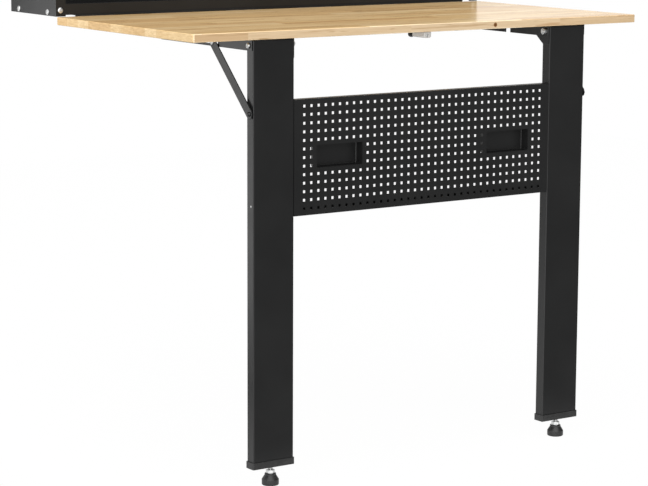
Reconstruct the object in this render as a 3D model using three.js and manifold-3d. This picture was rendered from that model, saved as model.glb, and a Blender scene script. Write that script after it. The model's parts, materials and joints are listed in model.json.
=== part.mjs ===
// Wall mounted folding workbench.
// A shallow steel cabinet hangs on the wall. A wooden worktop is hinged along the cabinet's lower front edge
// and stands on two steel legs that carry a perforated panel between them. Lifting the front edge turns the
// worktop up until it closes the cabinet, while the legs fold flat under the worktop.
// Millimetres. X runs to the right, Y into the wall and Z up. The origin is the middle of the cabinet's back.

import * as THREE from 'three';
import { mergeGeometries, mergeVertices } from 'three/addons/utils/BufferGeometryUtils.js';
import Module from 'manifold-3d';

const wasm = await Module();
wasm.setup();

// Clearances
const SEAT_GAP = 0.2; // between flat faces that rest on each other
const BORE_GAP = 0.3; // around a shank in its hole
const SWING_GAP = 0.5; // beside a piece that swings
const FOLD_GAP = 1; // between the folded legs and what lies beside them

// Worktop
const BENCH_WIDTH = 1200; // worktop and cabinet
const WORKTOP_DEPTH = 600;
const WORKTOP_THICKNESS = 18;
const WORKTOP_HEIGHT = 985; // floor to upper face
const WORKTOP_CORNER_RADIUS = 2;
const WORKTOP_EDGE_CHAMFER = 1;

// Cabinet of folded sheet
const CABINET_HEIGHT = 600;
const CABINET_DEPTH = 225;
const CABINET_SHEET = 1.5;
const CABINET_STILE = 25;
const CABINET_LIP = 25;
const CABINET_SIDE_PROUD = 3; // sides beyond the trays, above and below
const CABINET_END_FLANGE = 16;
const CABINET_BACK_FLANGE = 20;
const WALL_HOLE_DIAMETER = 9;
const WALL_HOLE_INSET = 100;

// Cabinet screws
const SCREW_HEAD_DIAMETER = 13;
const SCREW_HEAD_HEIGHT = 2.6;
const SCREW_SHANK_DIAMETER = 5;
const SCREW_LENGTH = 6;
const SIDE_SCREW_INSET = 41; // from the cabinet's front and from the wall
const SIDE_SCREW_RISE = 8.5; // from the side's lower or upper edge
const FRONT_SCREW_INSET = 11; // from the cabinet's side
const FRONT_SCREW_RISE = 13.7;

// Long hinge
const HINGE_GAP = 3.5; // cabinet's base to the worktop's upper face
const HINGE_SETBACK = 3; // cabinet's front to the worktop's back edge
const HINGE_END_MARGIN = 48;
const HINGE_KNUCKLES = 11;
const HINGE_KNUCKLE_GAP = 0.4;
const HINGE_PIN_DIAMETER = 2;
const HINGE_PIN_GAP = 0.2;
const HINGE_LEAF = 1;
const CABINET_LEAF_WIDTH = 24;
const WORKTOP_LEAF_MARGIN = 3; // from the leaf's lower edge to the worktop's underside

// Leg tubes
const LEG_INSET = 149.5; // worktop's end to the leg's outer face
const LEG_WIDTH = 102;
const LEG_DEPTH = 26;
const LEG_WALL = 1.8;
const LEG_CORNER_RADIUS = 2;
const LEG_SETBACK = 5.5; // worktop's front edge to the leg's front face

// Leg pivots
const PIVOT_FROM_BACK = 10;
const PIVOT_BOLT_DIAMETER = 8;
const PIVOT_BOLT_END = 2; // bolt's end past its nut
const PIVOT_HEAD_DIAMETER = 12;
const PIVOT_HEAD_HEIGHT = 3.5;
const PIVOT_NUT_ACROSS = 13;
const PIVOT_NUT_HEIGHT = 6.5;
const PIVOT_SLEEVE_WALL = 1.5;

// Leg channels under the worktop
const CHANNEL_SHEET = 1.5;
const CHANNEL_DROP = 23.5; // worktop's underside to the flanges' lower edge
const CHANNEL_SETBACK = 2.5; // leg's front face to the channel's front
const CHANNEL_EAR_DROP = 42;
const CHANNEL_EAR_LENGTH = 20;
const CHANNEL_EAR_TAPER = 24;
const TAB_NOTCH = 16; // width of the inner flange's notch for a folded panel tab
const SLOT_LEAD = 15; // slot's front end to the unfolded stay's pin
const SLOT_END_MARGIN = 12;

// Stays
const STAY_WIDTH = 21.5;
const STAY_THICKNESS = 2.5;
const STAY_PIN_FROM_FRONT = 9.5; // leg's front face to the lower bolt
const STAY_DROP = 143.8; // leg pivot down to the lower bolt
const STAY_REACH = 147.3; // lower bolt back to the upper pin
const STAY_SLOT_DROP = 15; // worktop's underside down to the upper pin
const STAY_BOLT_DIAMETER = 8;
const STAY_COLLAR_DIAMETER = 12;
const STAY_STUD_DIAMETER = 6;
const STAY_STUD_LENGTH = 8;
const STAY_HEAD_DIAMETER = 11;
const STAY_HEAD_HEIGHT = 4;
const STAY_PIN_DIAMETER = 5;
const STAY_PIN_HEAD_DIAMETER = 11;
const STAY_PIN_HEAD_HEIGHT = 2.5;

// Perforated panel between the legs
const PANEL_DROP = 130.8; // worktop's underside to the panel's upper edge
const PANEL_HEIGHT = 250.4;
const PANEL_SHEET = 1.2;
const PANEL_FLANGE = 20;
const PANEL_UPPER_LIP = 12;
const PANEL_LOWER_LIP = 17;
const PANEL_END_FLANGE = 3.5;
const PANEL_TAB_INSET = 16.4;
const PANEL_TAB_HEIGHT = 13;
const PANEL_TAB_DEPTH = 20;
const HOLE_SIZE = 6;
const HOLE_PITCH = 18.4;
const HOLE_END_MARGIN = 26; // panel's end to the middle of the outermost column, at least
const HOLE_EDGE_MARGIN = 14; // panel's upper or lower edge to the middle of the outermost row, at least
const PANEL_BOLT_DIAMETER = 6;
const PANEL_BOLT_ACROSS = 10;
const PANEL_BOLT_HEAD = 4;
const PANEL_BOLT_LENGTH = 12;

// Recessed pull cups in the panel
const CUP_WIDTH = 120;
const CUP_HEIGHT = 50;
const CUP_DEPTH = 24.5;
const CUP_SHEET = 1.2;
const CUP_FLANGE = 6;
const CUP_CORNER_RADIUS = 4;
const CUP_COLUMN = 6; // column of holes at the cup's middle, counted from the panel's end
const CUP_COLUMNS = 7; // columns and rows of holes that a cup takes the place of
const CUP_ROWS = 3;

// Leg end caps and levelling feet
const CAP_HEIGHT = 15;
const CAP_FLOOR = 3;
const CAP_PROUD = 2;
const CAP_CORNER_RADIUS = 2.5;
const INSERT_WIDTH = 40;
const INSERT_HEIGHT = 12;
const FOOT_STEM_DIAMETER = 10;
const FOOT_STEM_EXPOSED = 16;
const FOOT_STEM_INSIDE = 45;
const FOOT_NUT_ACROSS = 17;
const FOOT_NUT_HEIGHT = 8;
const FOOT_PAD_HEIGHT = 26;
const FOOT_PAD_DIAMETER = 37.5;
const FOOT_PAD_BASE = 13; // height of the pad's broad part
const FOOT_PAD_ROUNDING = 2.5;
const FOOT_RIM_DIAMETER = 25;
const FOOT_RIM_HEIGHT = 3.5;
const FOOT_SOCKET_DEPTH = 14;

// Latch
const LATCH_WIDTH = 19;
const LATCH_HEIGHT = 13;
const LATCH_LENGTH = 44;
const LATCH_SETBACK = 3;
const LATCH_CHAMFER = 2.5;
const LATCH_BOLT_DROP = 8; // housing's seat down to the bolt's middle
const LATCH_BOLT_DIAMETER = 6;
const LATCH_TRAVEL = 8;
const LATCH_KNOB_DIAMETER = 14;
const LATCH_KNOB_LENGTH = 13;
const LATCH_KNOB_SOCKET = 8;
const KEEPER_WIDTH = 40;
const KEEPER_THICKNESS = 2;
const KEEPER_SEAT = 35; // depth of the keeper that lies on the cabinet's top
const KEEPER_EDGE = 10; // from the keeper's hole to its front edge

// Facets of round shapes
const ROUND_SIDES = 12;
const SMALL_SIDES = 8;
const PAD_SIDES = 20;
const CORNER_STEPS = 2;
const WELD_DISTANCE = 0.0001;

// Cabinet, worktop and hinge places
const cabinetFront = -CABINET_DEPTH;
const cabinetHalf = BENCH_WIDTH / 2;
const cabinetTop = CABINET_HEIGHT / 2;
const cabinetBase = -cabinetTop;
const sideTop = cabinetTop + CABINET_SIDE_PROUD;
const trayHalf = cabinetHalf - CABINET_SHEET - SEAT_GAP;
const trayFront = cabinetFront + CABINET_SHEET + SEAT_GAP;
const trayBack = -CABINET_SHEET - SEAT_GAP;
const worktopTop = cabinetBase - HINGE_GAP;
const worktopUnder = worktopTop - WORKTOP_THICKNESS;
const worktopBack = cabinetFront - HINGE_SETBACK;
const worktopFront = worktopBack - WORKTOP_DEPTH;
const floorLevel = worktopTop - WORKTOP_HEIGHT;
const hingeY = (cabinetFront + worktopBack) / 2;
const hingeZ = (cabinetBase + worktopTop) / 2;
const hingeHalf = BENCH_WIDTH / 2 - HINGE_END_MARGIN;
const knuckleRadius = Math.hypot(HINGE_SETBACK, HINGE_GAP) / 2 - BORE_GAP;

// Leg, channel and panel places, measured out from the middle where they are mirrored
const webTop = worktopUnder - SEAT_GAP;
const webUnder = webTop - CHANNEL_SHEET;
const flangeEdge = worktopUnder - CHANNEL_DROP;
const legOuter = BENCH_WIDTH / 2 - LEG_INSET;
const legInner = legOuter - LEG_WIDTH;
const legMiddle = (legOuter + legInner) / 2;
const legFront = worktopFront + LEG_SETBACK;
const legBack = legFront + LEG_DEPTH;
const legDepthMiddle = (legFront + legBack) / 2;
const pivotY = legBack - PIVOT_FROM_BACK;
const pivotZ = webUnder - FOLD_GAP - PIVOT_FROM_BACK;
const legTop = pivotZ + PIVOT_FROM_BACK;
const channelFront = legFront + CHANNEL_SETBACK;
const outerFlange = legOuter + SWING_GAP;
const channelOuter = outerFlange + CHANNEL_SHEET;
const innerFlange = legInner - SWING_GAP;
const channelInner = innerFlange - CHANNEL_SHEET;
const panelTop = worktopUnder - PANEL_DROP;
const panelBottom = panelTop - PANEL_HEIGHT;
const panelMiddle = (panelTop + panelBottom) / 2;
const panelHalf = legInner - SEAT_GAP;
const panelFlangeHalf = channelInner - FOLD_GAP;
const panelRear = legFront + PANEL_SHEET;
const tabBoltY = legFront + PANEL_TAB_DEPTH / 2;
const tabLevels = [panelTop - PANEL_TAB_INSET, panelBottom + PANEL_TAB_INSET];
const holeColumns = 2 * Math.floor((panelHalf - HOLE_END_MARGIN) / HOLE_PITCH + 0.5);
const holeRows = 2 * Math.floor((PANEL_HEIGHT / 2 - HOLE_EDGE_MARGIN) / HOLE_PITCH) + 1;
const cupMiddle = ((holeColumns + 1) / 2 - CUP_COLUMN) * HOLE_PITCH;

// The place along the worktop where a level of the upright legs comes to lie when they are folded
const foldedPlace = (level) => pivotY + pivotZ - level;
const tabNotchFront = foldedPlace(tabLevels[0]) - TAB_NOTCH / 2;
const channelInnerRear = foldedPlace(tabLevels[1]) - TAB_NOTCH / 2;

// Stay places
const stayInner = channelOuter + SWING_GAP;
const stayOuter = stayInner + STAY_THICKNESS;
const stayLowY = legFront + STAY_PIN_FROM_FRONT;
const stayLowZ = pivotZ - STAY_DROP;
const stayTopY = stayLowY + STAY_REACH;
const stayTopZ = worktopUnder - STAY_SLOT_DROP;
const stayLength = Math.hypot(STAY_REACH, stayTopZ - stayLowZ);
const stayAngle = Math.atan2(stayTopZ - stayLowZ, STAY_REACH);
const slotRadius = STAY_PIN_DIAMETER / 2 + SWING_GAP;
const slotFront = stayTopY - SLOT_LEAD;
const slotRear = foldedPlace(stayLowZ) + stayLength;
const channelRear = slotRear + slotRadius + SLOT_END_MARGIN;

// Foot and latch places
const padTop = floorLevel + FOOT_PAD_HEIGHT;
const capBottom = padTop + FOOT_STEM_EXPOSED;
const capFloorTop = capBottom + CAP_FLOOR;
const latchFront = worktopFront + LATCH_SETBACK;
const latchBack = latchFront + LATCH_LENGTH;
const latchTop = worktopUnder - SEAT_GAP;
const latchZ = latchTop - LATCH_BOLT_DROP;
const keeperHoleY = hingeY - (hingeZ - latchZ);

// Finishes
const FINISHES = {
  wood: { color: 0xd8b483, roughness: 0.5, metalness: 0 },
  coat: { color: 0x2a2b2d, roughness: 0.45, metalness: 0.2 },
  zinc: { color: 0xc4c5c6, roughness: 0.35, metalness: 0.9 },
  plastic: { color: 0x1b1b1c, roughness: 0.55, metalness: 0 },
};

// Solids from shapes

function signedVolume(corners, index) {
  const [a, b, c] = [new THREE.Vector3(), new THREE.Vector3(), new THREE.Vector3()];
  let volume = 0;
  for (let i = 0; i < index.length; i += 3) {
    a.fromBufferAttribute(corners, index[i]);
    b.fromBufferAttribute(corners, index[i + 1]);
    c.fromBufferAttribute(corners, index[i + 2]);
    volume += a.dot(b.cross(c)) / 6;
  }
  return volume;
}

// Shares the corners of a closed shape, drops its empty triangles and turns its faces out.
function weld(geometry) {
  const bare = geometry.clone();
  bare.deleteAttribute('normal');
  bare.deleteAttribute('uv');
  const merged = mergeVertices(bare, WELD_DISTANCE);
  const all = merged.index.array;
  const index = [];
  for (let i = 0; i < all.length; i += 3) {
    const [a, b, c] = [all[i], all[i + 1], all[i + 2]];
    if (a !== b && b !== c && c !== a) {
      index.push(a, b, c);
    }
  }
  if (signedVolume(merged.getAttribute('position'), index) < 0) {
    index.reverse();
  }
  merged.setIndex(index);
  return merged;
}

function toSolid(geometry) {
  const welded = weld(geometry);
  const mesh = new wasm.Mesh({
    numProp: 3,
    vertProperties: new Float32Array(welded.getAttribute('position').array),
    triVerts: new Uint32Array(welded.index.array),
  });
  return new wasm.Manifold(mesh);
}

function toGeometry(solid) {
  const mesh = solid.getMesh();
  const geometry = new THREE.BufferGeometry();
  geometry.setAttribute('position', new THREE.BufferAttribute(mesh.vertProperties, 3));
  geometry.setIndex(new THREE.BufferAttribute(mesh.triVerts, 1));
  return geometry;
}

function join(first, ...others) {
  return toGeometry(others.reduce((solid, other) => solid.add(toSolid(other)), toSolid(first)));
}

function cut(body, ...cutters) {
  return toGeometry(cutters.reduce((solid, cutter) => solid.subtract(toSolid(cutter)), toSolid(body)));
}

// Box from its lowest to its highest X, Y and Z
function box(x0, x1, y0, y1, z0, z1) {
  const geometry = new THREE.BoxGeometry(x1 - x0, y1 - y0, z1 - z0);
  return geometry.translate((x0 + x1) / 2, (y0 + y1) / 2, (z0 + z1) / 2);
}

function roundedRectangle(u0, u1, v0, v1, radius) {
  const shape = new THREE.Shape();
  shape.absarc(u1 - radius, v0 + radius, radius, -Math.PI / 2, 0);
  shape.absarc(u1 - radius, v1 - radius, radius, 0, Math.PI / 2);
  shape.absarc(u0 + radius, v1 - radius, radius, Math.PI / 2, Math.PI);
  shape.absarc(u0 + radius, v0 + radius, radius, Math.PI, Math.PI * 1.5);
  return shape;
}

// Bar with round ends between two points on the U axis
function capsule(u0, u1, radius) {
  const shape = new THREE.Shape();
  shape.absarc(u1, 0, radius, -Math.PI / 2, Math.PI / 2);
  shape.absarc(u0, 0, radius, Math.PI / 2, Math.PI * 1.5);
  return shape;
}

function polygon(points) {
  return new THREE.Shape(points.map(([u, v]) => new THREE.Vector2(u, v)));
}

function extrude(shape, depth, curveSegments) {
  return new THREE.ExtrudeGeometry(shape, { depth, bevelEnabled: false, curveSegments });
}

// A shape drawn on Y and Z and run along X
function alongX(shape, x0, x1, steps = CORNER_STEPS) {
  const turn = new THREE.Matrix4();
  turn.makeBasis(new THREE.Vector3(0, 1, 0), new THREE.Vector3(0, 0, 1), new THREE.Vector3(1, 0, 0));
  return extrude(shape, x1 - x0, steps).applyMatrix4(turn).translate(x0, 0, 0);
}

// A shape drawn on X and Z and run along Y
function alongY(shape, y0, y1) {
  const turn = new THREE.Matrix4();
  turn.makeBasis(new THREE.Vector3(1, 0, 0), new THREE.Vector3(0, 0, 1), new THREE.Vector3(0, -1, 0));
  return extrude(shape, y1 - y0, CORNER_STEPS).applyMatrix4(turn).translate(0, y1, 0);
}

// A shape drawn on X and Y and run along Z
function alongZ(shape, z0, z1) {
  return extrude(shape, z1 - z0, CORNER_STEPS).translate(0, 0, z0);
}

function rodX(radius, x0, x1, y, z, sides = ROUND_SIDES) {
  const geometry = new THREE.CylinderGeometry(radius, radius, x1 - x0, sides);
  return geometry.rotateZ(Math.PI / 2).translate((x0 + x1) / 2, y, z);
}

function rodY(radius, y0, y1, x, z, sides = ROUND_SIDES) {
  return new THREE.CylinderGeometry(radius, radius, y1 - y0, sides).translate(x, (y0 + y1) / 2, z);
}

function rodZ(radius, z0, z1, x, y, sides = ROUND_SIDES) {
  const geometry = new THREE.CylinderGeometry(radius, radius, z1 - z0, sides);
  return geometry.rotateX(Math.PI / 2).translate(x, y, (z0 + z1) / 2);
}

// Turned shape from points of radius and height, standing on the Y axis
function turned(points, sides = ROUND_SIDES) {
  return new THREE.LatheGeometry(points.map(([radius, height]) => new THREE.Vector2(radius, height)), sides);
}

// Screw with a pan head: its shank points down the Y axis and its head sits on the plane of zero height
function panScrew(shankRadius, shankLength, headRadius, headHeight, sides) {
  const shoulder = headHeight * 0.45;
  const crown = headRadius * 0.72;
  return turned([
    [0, -shankLength],
    [shankRadius, -shankLength],
    [shankRadius, 0],
    [headRadius, 0],
    [headRadius, shoulder],
    [crown, headHeight],
    [0, headHeight],
  ], sides);
}

// Hexagon prism on the Z axis from zero height up, with a hole unless its radius is zero
function hexagon(across, height, holeRadius) {
  const corner = across / Math.sqrt(3);
  const prism = new THREE.CylinderGeometry(corner, corner, height, 6);
  prism.rotateX(Math.PI / 2).translate(0, 0, height / 2);
  if (holeRadius === 0) {
    return prism;
  }
  return cut(prism, rodZ(holeRadius, -height, height * 2, 0, 0));
}

// Pieces

const bench = new THREE.Group();
bench.name = 'wall_mounted_folding_workbench';

function group(name, parent = bench) {
  const made = new THREE.Group();
  made.name = name;
  parent.add(made);
  return made;
}

function addPiece(parent, name, geometry, finish) {
  const material = new THREE.MeshStandardMaterial({ ...FINISHES[finish], flatShading: true });
  const mesh = new THREE.Mesh(weld(geometry), material);
  mesh.name = name;
  parent.add(mesh);
  return mesh;
}

const SIDES = [{ name: 'left', sign: -1 }, { name: 'right', sign: 1 }];

// The right-hand piece, or its mirror image for the left
function forSide(side, geometry) {
  return side.sign > 0 ? geometry : geometry.clone().scale(-1, 1, 1);
}

// Turns a piece that stands on the Y axis so that it points out sideways
function pointOut(mesh, side) {
  mesh.rotation.z = -side.sign * Math.PI / 2;
}

// Cabinet

const sideScrewPlaces = [
  ['front', cabinetFront + SIDE_SCREW_INSET],
  ['rear', -SIDE_SCREW_INSET],
];
const screwHole = SCREW_SHANK_DIAMETER / 2 + BORE_GAP;
const frontScrewX = cabinetHalf - FRONT_SCREW_INSET;
const sideScrewZ = sideTop - SIDE_SCREW_RISE;
const frontScrewZ = sideTop - FRONT_SCREW_RISE;

function cabinetSide() {
  const flangeTop = cabinetTop - CABINET_END_FLANGE - SEAT_GAP;
  const inside = cabinetHalf - CABINET_SHEET;
  const stileEdge = cabinetHalf - CABINET_STILE;
  const flangeEdgeX = cabinetHalf - CABINET_BACK_FLANGE;
  const holes = [];
  for (const level of [-1, 1]) {
    holes.push(rodY(screwHole, cabinetFront * 2, trayFront, frontScrewX, level * frontScrewZ, SMALL_SIDES));
    for (const [, y] of sideScrewPlaces) {
      holes.push(rodX(screwHole, inside - 1, cabinetHalf + 1, y, level * sideScrewZ, SMALL_SIDES));
    }
  }
  const folded = join(
    box(inside, cabinetHalf, cabinetFront, 0, -sideTop, sideTop),
    box(stileEdge, cabinetHalf, cabinetFront, cabinetFront + CABINET_SHEET, -sideTop, sideTop),
    box(flangeEdgeX, cabinetHalf, trayBack - CABINET_SHEET, trayBack, -flangeTop, flangeTop),
  );
  return cut(folded, ...holes);
}

// Upper tray: its lip and end flanges turn down
function cabinetTray() {
  const endZ = cabinetTop - CABINET_END_FLANGE;
  const holes = [];
  const folds = [];
  for (const side of SIDES) {
    const flange = box(trayHalf - CABINET_SHEET, trayHalf, trayFront, trayBack, endZ, cabinetTop);
    folds.push(forSide(side, flange));
    const lipBack = trayFront + CABINET_SHEET;
    const x = side.sign * frontScrewX;
    holes.push(rodY(screwHole, trayFront - 1, lipBack + 1, x, frontScrewZ, SMALL_SIDES));
    for (const [, y] of sideScrewPlaces) {
      const hole = rodX(screwHole, trayHalf - CABINET_SHEET - 1, trayHalf + 1, y, sideScrewZ, SMALL_SIDES);
      holes.push(forSide(side, hole));
    }
  }
  const folded = join(
    box(-trayHalf, trayHalf, trayFront, trayBack, cabinetTop - CABINET_SHEET, cabinetTop),
    box(-trayHalf, trayHalf, trayFront, trayFront + CABINET_SHEET, cabinetTop - CABINET_LIP, cabinetTop),
    ...folds,
  );
  return cut(folded, ...holes);
}

function cabinetBack() {
  const holes = [];
  for (const x of [-1, 1]) {
    for (const z of [-1, 1]) {
      const holeX = x * (trayHalf - WALL_HOLE_INSET);
      const holeZ = z * (cabinetTop - WALL_HOLE_INSET);
      holes.push(rodY(WALL_HOLE_DIAMETER / 2, -CABINET_SHEET * 2, CABINET_SHEET, holeX, holeZ));
    }
  }
  return cut(box(-trayHalf, trayHalf, -CABINET_SHEET, 0, cabinetBase, cabinetTop), ...holes);
}

function cabinetScrew() {
  const headRadius = SCREW_HEAD_DIAMETER / 2;
  return panScrew(SCREW_SHANK_DIAMETER / 2, SCREW_LENGTH, headRadius, SCREW_HEAD_HEIGHT, SMALL_SIDES);
}

const cabinet = group('cabinet');
addPiece(cabinet, 'cabinet_back', cabinetBack(), 'coat');
addPiece(cabinet, 'cabinet_top', cabinetTray(), 'coat');
addPiece(cabinet, 'cabinet_bottom', cabinetTray().scale(1, 1, -1), 'coat');
for (const side of SIDES) {
  addPiece(cabinet, `cabinet_${side.name}_side`, forSide(side, cabinetSide()), 'coat');
  for (const [end, level] of [['lower', -1], ['upper', 1]]) {
    for (const [place, y] of sideScrewPlaces) {
      const screw = addPiece(cabinet, `side_screw_${side.name}_${end}_${place}`, cabinetScrew(), 'zinc');
      screw.position.set(side.sign * (cabinetHalf + SEAT_GAP), y, level * sideScrewZ);
      pointOut(screw, side);
    }
    const screw = addPiece(cabinet, `front_screw_${side.name}_${end}`, cabinetScrew(), 'zinc');
    screw.position.set(side.sign * frontScrewX, cabinetFront - SEAT_GAP, level * frontScrewZ);
    screw.rotation.x = Math.PI;
  }
}

// Long hinge

// Knuckles of one leaf, every second one from the first or the second on, each with a link to its leaf
function knuckles(first, link) {
  const pitch = hingeHalf * 2 / HINGE_KNUCKLES;
  const ring = new THREE.Shape();
  ring.absarc(hingeY, hingeZ, knuckleRadius, 0, Math.PI * 2);
  const bore = new THREE.Path();
  bore.absarc(hingeY, hingeZ, HINGE_PIN_DIAMETER / 2 + HINGE_PIN_GAP, 0, Math.PI * 2);
  ring.holes.push(bore);
  const made = [];
  for (let i = first; i < HINGE_KNUCKLES; i += 2) {
    const start = -hingeHalf + i * pitch + HINGE_KNUCKLE_GAP / 2;
    const end = start + pitch - HINGE_KNUCKLE_GAP;
    made.push(alongX(ring, start, end, SMALL_SIDES / 2), link(start, end));
  }
  return made;
}

function cabinetLeaf() {
  const top = cabinetBase - SEAT_GAP;
  const front = hingeY + knuckleRadius + BORE_GAP;
  const inKnuckle = hingeY + knuckleRadius - HINGE_LEAF / 2;
  const plate = box(-hingeHalf, hingeHalf, front, front + CABINET_LEAF_WIDTH, top - HINGE_LEAF, top);
  return join(plate, ...knuckles(0, (x0, x1) => box(x0, x1, inKnuckle, front + 1, top - HINGE_LEAF, top)));
}

function worktopLeaf() {
  const front = worktopBack + SEAT_GAP;
  const top = hingeZ - knuckleRadius - BORE_GAP;
  const inKnuckle = hingeZ - knuckleRadius + HINGE_LEAF / 2;
  const plate = box(-hingeHalf, hingeHalf, front, front + HINGE_LEAF, worktopUnder + WORKTOP_LEAF_MARGIN, top);
  return join(plate, ...knuckles(1, (x0, x1) => box(x0, x1, front, front + HINGE_LEAF, top - 1, inKnuckle)));
}

const worktop = group('worktop');
addPiece(cabinet, 'hinge_cabinet_leaf', cabinetLeaf(), 'coat');
const hingePin = rodX(HINGE_PIN_DIAMETER / 2, -hingeHalf, hingeHalf, hingeY, hingeZ, SMALL_SIDES);
addPiece(cabinet, 'hinge_pin', hingePin, 'zinc');
addPiece(worktop, 'hinge_worktop_leaf', worktopLeaf(), 'coat');

// Worktop board with eased edges

function worktopBoard() {
  const half = BENCH_WIDTH / 2 - WORKTOP_EDGE_CHAMFER;
  const front = worktopFront + WORKTOP_EDGE_CHAMFER;
  const back = worktopBack - WORKTOP_EDGE_CHAMFER;
  const outline = roundedRectangle(-half, half, front, back, WORKTOP_CORNER_RADIUS - WORKTOP_EDGE_CHAMFER);
  const board = new THREE.ExtrudeGeometry(outline, {
    depth: WORKTOP_THICKNESS - 2 * WORKTOP_EDGE_CHAMFER,
    bevelThickness: WORKTOP_EDGE_CHAMFER,
    bevelSize: WORKTOP_EDGE_CHAMFER,
    bevelSegments: 1,
    curveSegments: CORNER_STEPS,
  });
  return board.translate(0, 0, worktopUnder + WORKTOP_EDGE_CHAMFER);
}

addPiece(worktop, 'worktop_board', worktopBoard(), 'wood');

// Leg channels: the legs swing between the flanges, and the outer flange has a slot for the stay's pin

const pivotHole = PIVOT_BOLT_DIAMETER / 2 + BORE_GAP;

function legChannel() {
  const earEdge = worktopUnder - CHANNEL_EAR_DROP;
  const earEnd = channelFront + CHANNEL_EAR_LENGTH;
  const innerShape = polygon([
    [channelFront, webTop],
    [channelFront, earEdge],
    [earEnd, earEdge],
    [earEnd + CHANNEL_EAR_TAPER, flangeEdge],
    [channelInnerRear, flangeEdge],
    [channelInnerRear, webTop],
  ]);
  const folded = join(
    box(channelInner, channelOuter, channelFront, channelInnerRear, webUnder, webTop),
    box(outerFlange, channelOuter, channelFront, channelRear, flangeEdge, webTop),
    alongX(innerShape, channelInner, innerFlange),
  );
  const slot = alongX(capsule(slotFront, slotRear, slotRadius), outerFlange - 1, channelOuter + 1);
  // The slot opens below where the folded stay's bolt comes to lie.
  const boltY = foldedPlace(stayLowZ);
  const boltReach = STAY_COLLAR_DIAMETER / 2 + FOLD_GAP;
  const boltTop = pivotZ + stayLowY - pivotY + boltReach;
  const low = flangeEdge - 1;
  return cut(
    folded,
    rodX(pivotHole, channelInner - 1, channelOuter + 1, pivotY, pivotZ),
    slot.translate(0, 0, stayTopZ),
    box(outerFlange - 1, channelOuter + 1, boltY - boltReach, boltY + boltReach, low, boltTop),
    box(channelInner - 1, innerFlange + 1, tabNotchFront, tabNotchFront + TAB_NOTCH, low, webUnder),
  );
}

function pivotBolt() {
  const length = channelOuter - channelInner + SEAT_GAP * 2 + PIVOT_NUT_HEIGHT + PIVOT_BOLT_END;
  return panScrew(PIVOT_BOLT_DIAMETER / 2, length, PIVOT_HEAD_DIAMETER / 2, PIVOT_HEAD_HEIGHT, ROUND_SIDES);
}

for (const side of SIDES) {
  addPiece(worktop, `${side.name}_leg_channel`, forSide(side, legChannel()), 'coat');
  const bolt = addPiece(worktop, `${side.name}_pivot_bolt`, pivotBolt(), 'zinc');
  bolt.position.set(side.sign * (channelOuter + SEAT_GAP), pivotY, pivotZ);
  pointOut(bolt, side);
  const nutShape = hexagon(PIVOT_NUT_ACROSS, PIVOT_NUT_HEIGHT, pivotHole);
  const nut = addPiece(worktop, `${side.name}_pivot_nut`, nutShape, 'zinc');
  nut.position.set(side.sign * (channelInner - SEAT_GAP), pivotY, pivotZ);
  nut.rotation.y = -side.sign * Math.PI / 2;
}

// Latch and its keeper

function latchHousing() {
  const half = LATCH_WIDTH / 2;
  const bottom = latchTop - LATCH_HEIGHT;
  const section = polygon([
    [-half, latchTop],
    [-half, bottom + LATCH_CHAMFER],
    [-half + LATCH_CHAMFER, bottom],
    [half - LATCH_CHAMFER, bottom],
    [half, bottom + LATCH_CHAMFER],
    [half, latchTop],
  ]);
  const bore = rodY(LATCH_BOLT_DIAMETER / 2 + BORE_GAP, latchFront - 1, latchBack + 1, 0, latchZ);
  return cut(alongY(section, latchFront, latchBack), bore);
}

// Knob standing on the Y axis, with a socket for the bolt in its foot
function latchKnob() {
  const socket = LATCH_BOLT_DIAMETER / 2 + BORE_GAP;
  const radius = LATCH_KNOB_DIAMETER / 2;
  const waist = radius * 0.75;
  return turned([
    [0, LATCH_KNOB_SOCKET],
    [socket, LATCH_KNOB_SOCKET],
    [socket, 0],
    [waist, 0],
    [radius, LATCH_KNOB_LENGTH * 0.4],
    [radius, LATCH_KNOB_LENGTH * 0.8],
    [waist, LATCH_KNOB_LENGTH],
    [0, LATCH_KNOB_LENGTH],
  ]);
}

function latchKeeper() {
  const base = cabinetTop + SEAT_GAP;
  const front = keeperHoleY - KEEPER_EDGE;
  const half = KEEPER_WIDTH / 2;
  const top = base + KEEPER_THICKNESS;
  const plate = box(-half, half, front, cabinetFront + KEEPER_SEAT, base, top);
  const hole = LATCH_BOLT_DIAMETER / 2 + FOLD_GAP;
  return cut(plate, rodZ(hole, base - 1, top + 1, 0, keeperHoleY));
}

const knobFoot = latchBack + LATCH_TRAVEL + FOLD_GAP;
const boltEnd = knobFoot + LATCH_KNOB_SOCKET - SEAT_GAP;
const latch = group('latch', worktop);
addPiece(worktop, 'latch_housing', latchHousing(), 'zinc');
const latchBolt = rodY(LATCH_BOLT_DIAMETER / 2, latchFront + FOLD_GAP, boltEnd, 0, latchZ);
addPiece(latch, 'latch_bolt', latchBolt, 'zinc');
addPiece(latch, 'latch_knob', latchKnob(), 'plastic').position.set(0, knobFoot, latchZ);
addPiece(cabinet, 'latch_keeper', latchKeeper(), 'zinc');

// Legs, their caps and what sits inside them

const stemHole = FOOT_STEM_DIAMETER / 2 + BORE_GAP;
const tabBoltHole = PANEL_BOLT_DIAMETER / 2 + BORE_GAP;

// Rounds a leg's upper back corner about the pivot, so that it turns under the channel's web
function pivotCorner(radius) {
  return cut(
    box(legInner - 1, legOuter + 1, pivotY, legBack + 1, pivotZ, legTop + 1),
    rodX(radius, legInner - 2, legOuter + 2, pivotY, pivotZ, ROUND_SIDES * 2),
  );
}

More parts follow.
